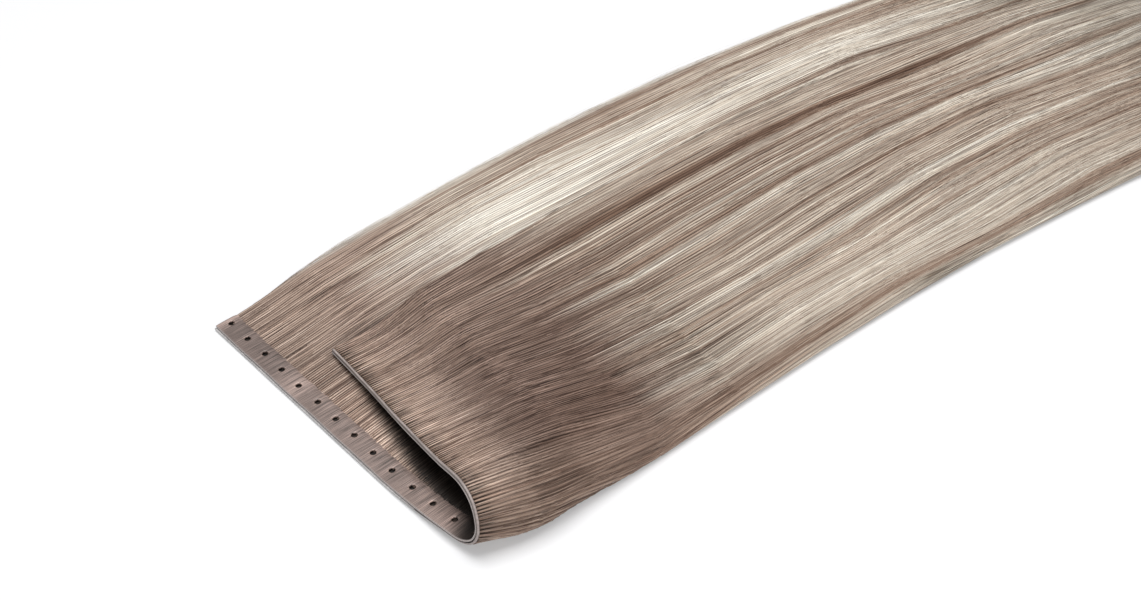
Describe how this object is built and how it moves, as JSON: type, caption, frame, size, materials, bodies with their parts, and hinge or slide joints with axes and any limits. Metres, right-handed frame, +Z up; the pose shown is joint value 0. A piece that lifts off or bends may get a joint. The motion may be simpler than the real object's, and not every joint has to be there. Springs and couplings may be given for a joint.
{
  "type": "hair weft",
  "caption": "Hair weft: long straight hair rooted in a perforated skin band, folded once and laid flat, for sewing or beading into natural hair.",
  "frame": {"origin": "on the table, under the middle of the weft's box", "axes": "+X along the band from its lower end to the fold, +Y along the hair from the band to the tips, +Z up from the table"},
  "size_m": [0.2362, 0.5266, 0.0261],
  "materials": {
    "skin": "satin, slightly see-through skin over the roots",
    "lip": "satin rolled edge",
    "hair": "straight hair with beige and brown streaks and a soft sheen"
  },
  "bodies": {
    "root": {"band_skin": "skin", "edge_lip": "lip", "hair_fall": "hair"}
  },
  "joints": []
}
